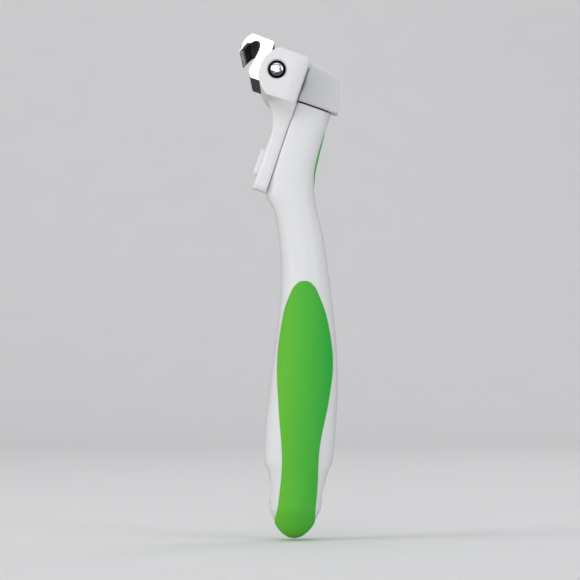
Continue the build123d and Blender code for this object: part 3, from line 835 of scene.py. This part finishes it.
def end_screws():
    """Two domed pan-head screws on thin sunk flanges, with cross recesses."""
    # (radius, height over the seat): the dome, the flange round it, and the shank below
    profile = [
        (0.8, 1.44), (1.4, 1.38), (1.8, 1.28), (2.05, 1.14), (2.16, 0.96), (2.2, 0.7), (2.24, 0.36),
        (2.5, 0.3), (2.85, 0.24), (3.02, 0.14), (3.08, 0.0), (3.08, -0.1), (1.95, -0.12), (1.95, -8.4),
    ]
    # (height, half length, half width) of a slot of the cross, from its mouth to its floor
    slot = ((1.9, 1.95, 0.40), (1.3, 1.7, 0.36), (0.3, 0.8, 0.26))
    angles = [2 * pi * k / 72 for k in range(72)]
    pieces = []
    for side in (-1, 1):
        seat = side * (HEAD_HALF - 0.7)
        rings = []
        for radius, height in profile:
            y = seat + side * height
            rings.append([head_at(radius * cos(a), radius * sin(a), y) for a in angles])
        made = loft("end_screw", rings)
        for turn in (20, 110):
            c, s = cos(radians(turn)), sin(radians(turn))
            rings = []
            for height, length, half in slot:
                y = seat + side * height
                corners = ((-length, -half), (length, -half), (length, half), (-length, half))
                rings.append([head_at(a * c - b * s, a * s + b * c, y) for a, b in corners])
            combine(made, loft("cutter", rings), "DIFFERENCE")
        pieces.append(made)
    return join(pieces, "end_screws_skin")


def join(pieces, name):
    """Several meshes as one object."""
    work = bmesh.new()
    for piece in pieces:
        work.from_mesh(piece.data)
    mesh = bpy.data.meshes.new(name)
    work.to_mesh(mesh)
    work.free()
    for piece in pieces:
        old = piece.data
        bpy.data.objects.remove(piece)
        bpy.data.meshes.remove(old)
    made = bpy.data.objects.new(name, mesh)
    bpy.context.scene.collection.objects.link(made)
    return made


# ------------------------------------------------------------ the cap
def neck_cap():
    """The block behind the T-bar."""
    half, edge = 13.0, 1.3
    corners = ((SEAM, -6.0, 0.5), (SEAM, 8.1, 0.5), (-20.5, 6.9, 3.8), (-24.75, -6.0, 0.7))

    def outline_at(inset):
        return round_corners(corners, 8, inset)

    made = prism("neck_cap_skin", outline_at, across_head, -half, half, edge, 6)
    lip_room = head_block(-21.1, -12.0, -8, -3.1, 20.2)
    tenon_room = head_block(-19.5, -12.0, -8, 4.1, 15.0)
    screw_seat = column(head_at(SEAM, 0.5), FORWARD, 2.75, 2.6)
    for cutter in (lip_room, tenon_room, screw_seat):
        combine(made, cutter, "DIFFERENCE")
    return made


# ------------------------------------------------------------ the blade
TOOTH_PITCH = 1.5
BLADE_HALF = 48.5
# a tooth's section: (share of its depth, share of its half width), with bevelled edges
TOOTH_SECTION = (
    (0, 0.55), (0.3, 1), (0.7, 1), (1, 0.55), (1, -0.55), (0.7, -1), (0.3, -1), (0, -0.55),
)


def blade():
    """The hooked comb: a rolled body that carries a row of tapered teeth."""
    outside = spline(((11.3, 9.12), (12.4, 8.6), (13.35, 7.3), (13.95, 5.6)), 6)
    face = spline((
        (7.95, -5.3), (8.6, -4.3), (8.95, -3.2), (9.05, -2.2), (8.75, -1.0), (8.5, 0.2), (8.25, 1.8),
        (8.02, 3.4), (7.95, 4.8),
    ), 5)
    pocket = spline((
        (7.95, 4.8), (8.1, 5.9), (8.65, 6.75), (9.35, 7.0), (10.1, 6.75), (10.75, 6.2), (11.3, 5.6),
    ), 5)
    outline = [(3.7, 7.8), (3.7, -5.3), (3.8, -5.55), (4.0, -5.6), (7.5, -5.6), (7.75, -5.5)]
    outline += face + pocket[1:]
    outline += [(12.7, 5.1)] + list(reversed(outside))
    outline += [(4.9, 9.0), (4.4, 8.92), (4.0, 8.65), (3.76, 8.25)]

    def outline_at(inset):
        return drawn_in(outline, inset)

    pieces = [prism("blade_body", outline_at, across_head, -BLADE_HALF, BLADE_HALF, 0.16, 3)]
    count = int(2 * BLADE_HALF / TOOTH_PITCH) + 1
    # a tooth's sections from its root to its tip: inner (v, u), outer (v, u), half width
    sections = (
        ((11.0, 6.6), (13.3, 7.35), 0.42),
        ((11.5, 5.5), (13.98, 5.5), 0.42),
        ((12.15, 4.5), (14.22, 4.4), 0.42),
        ((12.75, 3.3), (14.25, 3.2), 0.41),
        ((13.2, 2.3), (14.15, 2.2), 0.37),
        ((13.5, 1.65), (13.98, 1.6), 0.28),
        ((13.62, 1.3), (13.86, 1.28), 0.15),
    )
    for k in range(count):
        middle = (k - (count - 1) / 2) * TOOTH_PITCH
        rings = []
        for inner, outer, half in sections:
            deep = Vector(outer) - Vector(inner)
            ring = []
            for along, across in TOOTH_SECTION:
                v, u = Vector(inner) + deep * along
                ring.append(head_at(v, u, middle + across * half))
            rings.append(ring)
        pieces.append(loft("tooth", rings))
    return join(pieces, "blade_comb")


# ------------------------------------------------------------ the button
def release_button():
    """A push pad with softly rounded edges, its stem and the two feet that press the spring."""
    half_width, half_height, corner = 5.4, 4.9, 1.5
    middle = -30.4
    corners = (
        (-half_width, -half_height, corner), (half_width, -half_height, corner),
        (half_width, half_height, corner), (-half_width, half_height, corner),
    )
    # (v, inset of the outline) from the pad's underside to its face
    edge_profile = (
        (-4.64, 0.0), (-3.75, 0.0), (-3.5, 0.03), (-3.28, 0.12), (-3.1, 0.27), (-2.98, 0.47),
        (-2.91, 0.75), (-2.9, 1.1),
    )
    rings = []
    for v, inset in edge_profile:
        outline = round_corners(corners, 7, inset)
        rings.append([head_at(v, middle + u, y) for y, u in outline])
    made = loft("release_button_skin", rings)
    stem = head_block(-6.15, -4.6, -32.6, -26.4, 4.8)
    upper_tab = head_block(-7.05, -6.1, -32.6, -24.2, 4.8)
    combine(made, stem, "UNION")
    combine(made, upper_tab, "UNION")
    # each foot is a lower tab and the post that carries it: (v from, v to, u from, u to)
    lower_tab, post = (-7.05, -6.15, -36.6, -32.2), (-7.05, -4.6, -34.3, -32.7)
    for side in (-1, 1):
        inner, outer = side * 1.8, side * 2.6
        for low, high, bottom, top in (lower_tab, post):
            foot = []
            for u in (bottom, top):
                for v, y in ((low, inner), (high, inner), (high, outer), (low, outer)):
                    foot.append(head_at(v, u, y))
            combine(made, block(foot), "UNION")
    return made


# ------------------------------------------------------------ materials
class Paint:
    """A node material, and short ways to add the nodes that feed its main shader."""

    def __init__(self, name):
        self.material = bpy.data.materials.new(name)
        self.material.use_nodes = True
        self.tree = self.material.node_tree
        self.shader = self.tree.nodes["Principled BSDF"]

    def feed(self, node, inputs):
        """Fills a node's inputs: a socket is linked, and anything else is set as a value."""
        for key, value in inputs.items():
            if isinstance(value, bpy.types.NodeSocket):
                self.tree.links.new(value, node.inputs[key])
            else:
                node.inputs[key].default_value = value

    def add(self, kind, inputs, output, **settings):
        """Adds a node and gives one of its outputs."""
        node = self.tree.nodes.new("ShaderNode" + kind)
        for key, value in settings.items():
            setattr(node, key, value)
        self.feed(node, inputs)
        return node.outputs[output]

    def point(self, stretch=(1, 1, 1)):
        """Object coordinates, stretched."""
        place = self.add("TexCoord", {}, "Object")
        return self.add("Mapping", {"Vector": place, "Scale": stretch}, "Vector")

    def noise(self, scale, detail=3.0, rough=0.55, stretch=(1, 1, 1)):
        """A noise texture's value."""
        inputs = {"Vector": self.point(stretch), "Scale": scale, "Detail": detail, "Roughness": rough}
        return self.add("TexNoise", inputs, "Fac")

    def span(self, value, low, high, from_low=0.0, from_high=1.0):
        """A value stretched from one range over another, and held inside it."""
        inputs = {
            "Value": value, "From Min": from_low, "From Max": from_high, "To Min": low, "To Max": high,
        }
        return self.add("MapRange", inputs, "Result")

    def blend(self, factor, first, second):
        """A colour between two, as a factor says."""
        ends = [(*end, 1) if isinstance(end, tuple) else end for end in (first, second)]
        return self.add("Mix", {"Factor": factor, "A": ends[0], "B": ends[1]}, "Result", data_type="RGBA")

    def bump(self, height, strength, distance):
        """A bump of a real depth in metres."""
        inputs = {"Height": height, "Strength": strength, "Distance": distance}
        return self.add("Bump", inputs, "Normal")

    def edges(self, low=0.5, high=0.56):
        """Near 1 on convex edges."""
        return self.span(self.add("NewGeometry", {}, "Pointiness"), 0, 1, low, high)


def plastic(name, colour, roughness, gloss_coat=0.0, shade=0.93):
    """Moulded plastic: a slight flow mottle, a fine spark-eroded grain and convex edges made paler by a
    painted highlight.
    """
    paint = Paint(name)
    darker = tuple(c * shade for c in colour)
    # painted highlight: this paler colour goes on convex edges
    paler = tuple(min(c * 1.06, 1.0) for c in colour)
    base = paint.blend(paint.noise(55, 4, stretch=(1, 1, 0.35)), darker, colour)
    paint.feed(paint.shader, {
        "Base Color": paint.blend(paint.edges(), base, paler),
        "Roughness": paint.span(paint.noise(900, 2), roughness - 0.05, roughness + 0.07),
        "Normal": paint.bump(paint.noise(5200, 2), 0.25, 0.00003),
        "IOR": 1.5,
        "Coat Weight": gloss_coat,
        "Coat Roughness": 0.18,
        "Subsurface Weight": 0.04,
        "Subsurface Radius": (0.002, 0.002, 0.002),
    })
    return paint.material


def soft_green(name):
    """Soft rubbery green with a matt fine grain; painted light makes it yellower at the front and painted
    shade deeper at the back, and a painted highlight makes convex edges paler.
    """
    paint = Paint(name)
    x = paint.add("SeparateXYZ", {"Vector": paint.point()}, "X")
    # painted light and shade: yellower towards the lit front, deeper towards the back
    painted_light_toward_back = paint.span(x, 0, 1, -0.0095, 0.0125)
    base = paint.blend(painted_light_toward_back, (0.165, 0.57, 0.030), (0.022, 0.46, 0.052))
    mottle = paint.span(paint.noise(160, 4), 0.0, 0.12)
    base = paint.blend(mottle, base, (0.02, 0.26, 0.02))
    # painted highlight: convex edges turn a paler yellow-green
    painted_edge_highlight = paint.span(paint.edges(0.5, 0.6), 0.0, 0.2)
    paint.feed(paint.shader, {
        "Base Color": paint.blend(painted_edge_highlight, base, (0.16, 0.62, 0.08)),
        "Roughness": paint.span(paint.noise(700, 2), 0.52, 0.68),
        "Normal": paint.bump(paint.noise(3400, 2), 0.4, 0.00005),
        "Specular IOR Level": 0.28,
        "Subsurface Weight": 0.06,
        "Subsurface Radius": (0.001, 0.002, 0.0006),
    })
    return paint.material


def metal(name, colour, roughness, streaks=(1, 1, 1), streak_scale=900, recess=0.0):
    """Bare metal with fine directional scratches; given a reach in metres, painted shade darkens its
    recesses over that reach.
    """
    paint = Paint(name)
    lines = paint.noise(streak_scale, 5, 0.7, streaks)
    base = paint.blend(paint.noise(90, 3), tuple(c * 0.86 for c in colour), colour)
    if recess:
        # painted shade: where ambient occlusion finds the metal closed in, its colour goes near black
        painted_shade_openness = paint.add("AmbientOcclusion", {"Distance": recess}, "AO", samples=8, only_local=True)
        base = paint.blend(paint.span(painted_shade_openness, 0, 1, 0.42, 0.92), (0.03, 0.03, 0.033), base)
    paint.feed(paint.shader, {
        "Base Color": base,
        "Metallic": 1.0,
        "Roughness": paint.span(lines, roughness * 0.6, roughness * 1.5),
        "Normal": paint.bump(lines, 0.3, 0.000004),
    })
    return paint.material


def screw_metal(name):
    """Bright chrome on the screw's dome, and painted shade on the sunk flange round it: near black and
    rougher.
    """
    paint = Paint(name)
    apart = paint.add("VectorMath", {0: paint.point(), 1: SCREW_AXIS * MM}, "Vector", operation="SUBTRACT")
    flat = paint.add("VectorMath", {0: apart, 1: (1, 0, 1)}, "Vector", operation="MULTIPLY")
    radius = paint.add("VectorMath", {0: flat}, "Value", operation="LENGTH")
    # painted shade: the flange beyond the dome is painted near black
    flange = paint.span(radius, 0, 1, 0.00208, 0.00220)
    bright = paint.blend(paint.noise(700, 3), (0.82, 0.82, 0.84), (0.93, 0.93, 0.94))
    lines = paint.noise(2500, 3, stretch=(1, 1, 0.1))
    paint.feed(paint.shader, {
        "Base Color": paint.blend(flange, bright, (0.012, 0.012, 0.013)),
        "Metallic": 1.0,
        "Roughness": paint.span(flange, 0.16, 0.4),
        "Normal": paint.bump(lines, 0.2, 0.000003),
    })
    return paint.material


WHITE = plastic("white_moulded_plastic", (0.82, 0.822, 0.825), 0.38, 0.08, 0.97)
BUTTON_WHITE = plastic("button_moulded_plastic", (0.80, 0.805, 0.81), 0.40, 0.05, 0.96)
GREY = plastic("grey_moulded_plastic", (0.71, 0.715, 0.72), 0.42, 0.0, 0.96)
CORE = plastic("core_glass_filled_nylon", (0.22, 0.222, 0.226), 0.5, 0.0, 0.8)
GREEN = soft_green("green_soft_rubber")
STEEL = metal("polished_blade_steel", (0.90, 0.90, 0.91), 0.17, (1, 0.02, 1), 1800, recess=0.008)
CHROME = screw_metal("chrome_screw")
ZINC = metal("zinc_plated_steel", (0.66, 0.68, 0.70), 0.28)
SPRING = metal("blue_spring_steel", (0.36, 0.38, 0.42), 0.24, (1, 1, 0.05), 1400)
BRASS = metal("brass_insert", (0.80, 0.60, 0.26), 0.25)
ALLOY = metal("carrier_alloy", (0.74, 0.75, 0.77), 0.32, (1, 0.02, 1), 1300)


# ------------------------------------------------------------ the pieces
def finish_piece(made, sharp, name, body, paint, node):
    """Shades a piece, names and paints it, and puts it in the place of its CAD node."""
    smooth(made, sharp)
    made.name = name
    made.data.name = name
    made.data.materials.clear()
    made.data.materials.append(paint)
    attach(made, body)
    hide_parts(node)


SIDES = ((-1, "left"), (1, "right"))

for side, half_name in SIDES:
    half = shell_half(side, f"shell_{half_name}")
    cut_neck(half)
    node_name = f"handle_{half_name}_shell"
    finish_piece(half, 38, f"shell_{half_name}", "handle", WHITE, node_name)

finish_piece(soft_grip(), 60, "grip", "handle", GREEN, "soft_grip")

bush = eyelet(EYELET_R - 1.0, EYELET_R)
finish_piece(bush, 50, "hang_bush", "handle", GREY, "hang_eyelet")

finish_piece(neck_pad(), 60, "finger_pad", "handle", GREEN, "neck_pad")
finish_piece(neck_cap(), 32, "cap_block", "handle", GREY, "neck_cap")

housing = head_housing()
soften(housing, 0.18, 40)
finish_piece(housing, 30, "t_bar_and_arm", "head", WHITE, "head_housing")

for side, half_name in SIDES:
    end = end_cap(side, f"end_{half_name}")
    soften(end, 0.12, 45)
    node_name = f"end_cap_{half_name}"
    finish_piece(end, 35, f"bar_end_{half_name}", "head", WHITE, node_name)

finish_piece(end_screws(), 35, "bar_end_screws", "head", CHROME, "end_cap_screws")
finish_piece(blade(), 35, "comb_blade", "head", STEEL, "blade")
button = release_button()
finish_piece(button, 35, "push_button", "button", BUTTON_WHITE, "release_button")

# CAD pieces whose shape is right stay, with smooth shading and a material of their own
KEPT = {
    "neck_core": CORE,
    "cap_screw": ZINC,
    "latch_spring": SPRING,
    "handle_screws": ZINC,
    "head_back_cover": GREY,
    "back_cover_screws": ZINC,
    "blade_carrier": ALLOY,
    "carrier_inserts": BRASS,
    "blade_screws": ZINC,
}
for node_name, paint in KEPT.items():
    kept = NODES[node_name]
    kept.data.materials.clear()
    kept.data.materials.append(paint)
    smooth(kept, 30)

# ------------------------------------------------------------ studio
MIDDLE_Z = (CAD_BOX[0][2] + CAD_BOX[1][2]) / 2
FLOOR_Z = CAD_BOX[0][2] - 0.0006


def backdrop():
    """A pale floor that curves up into a wall behind the tool."""
    reach, near, wall, bend, height = 2.2, -2.5, 0.9, 0.5, 2.6
    turns = [pi / 2 * k / 24 for k in range(25)]
    line = [(near, 0.0)]
    line += [(wall + bend * sin(turn), bend - bend * cos(turn)) for turn in turns]
    line += [(wall + bend, height)]
    vertices, faces = [], []
    for y, up in line:
        for x in (-reach, reach):
            vertices.append(Vector((x, y, FLOOR_Z + up)) / MM)
    for k in range(len(line) - 1):
        a = 2 * k
        faces.append((a, a + 1, a + 3, a + 2))
    made = new_object("studio_backdrop", vertices, faces)
    for face in made.data.polygons:
        face.use_smooth = True

    paper = Paint("pale_paper")
    sheet = paper.blend(paper.noise(40, 3), (0.77, 0.765, 0.76), (0.80, 0.795, 0.79))
    # glossy rays see the floor near black: a painted dark reflection in bright metal, standing in for
    # black cards below
    dark_reflection_mask = paper.add("LightPath", {}, "Is Glossy Ray")
    paper.feed(paper.shader, {
        "Base Color": paper.blend(dark_reflection_mask, sheet, (0.05, 0.05, 0.052)),
        "Roughness": 0.9,
    })
    made.data.materials.append(paper.material)


backdrop()


def lamp(name, place, target, size, power, colour=(1, 1, 1)):
    """A soft area light aimed at a point."""
    light = bpy.data.lights.new(name, "AREA")
    light.shape = "RECTANGLE"
    light.size, light.size_y = size
    light.energy = power
    light.color = colour
    made = bpy.data.objects.new(name, light)
    bpy.context.scene.collection.objects.link(made)
    made.location = place
    made.rotation_euler = (Vector(target) - Vector(place)).to_track_quat("-Z", "Y").to_euler()


aim = (0, 0, MIDDLE_Z)
lamp("key_left", (-1.1, -0.55, 0.5), aim, (0.6, 0.9), 6.2, (1.0, 0.995, 0.985))
lamp("fill_right", (0.95, -0.75, 0.35), aim, (0.7, 0.9), 4.3, (0.98, 0.99, 1.0))
lamp("front", (-0.25, -1.3, 0.35), aim, (0.7, 0.7), 2.7)
lamp("top", (-0.1, -0.1, 1.1), aim, (0.8, 0.8), 2.6)
lamp("rim", (0.6, 0.7, 0.6), aim, (0.4, 0.7), 1.2)
lamp("backdrop_wash", (0.0, 0.35, 1.3), (0, 1.5, 0.25), (1.6, 0.4), 4)

world = bpy.data.worlds.new("soft_world")
world.use_nodes = True
world.node_tree.nodes["Background"].inputs["Color"].default_value = (0.9, 0.93, 1.0, 1)
world.node_tree.nodes["Background"].inputs["Strength"].default_value = 0.32
bpy.context.scene.world = world
bpy.context.scene.view_settings.view_transform = "Standard"

# The camera looks at the side, as far off as the photo's perspective shows.
VIEW_DISTANCE = 1.465
FRAME_HEIGHT = 0.205            # what the picture shows of the tool's plane
camera_data = bpy.data.cameras.new("camera")
camera_data.sensor_width = 36
camera_data.lens = 36 * VIEW_DISTANCE / FRAME_HEIGHT
camera = bpy.data.objects.new("camera", camera_data)
bpy.context.scene.collection.objects.link(camera)
camera.location = ((CAD_BOX[0][0] + CAD_BOX[1][0]) / 2, -VIEW_DISTANCE, MIDDLE_Z)
camera.rotation_euler = (pi / 2, 0, 0)
bpy.context.scene.camera = camera
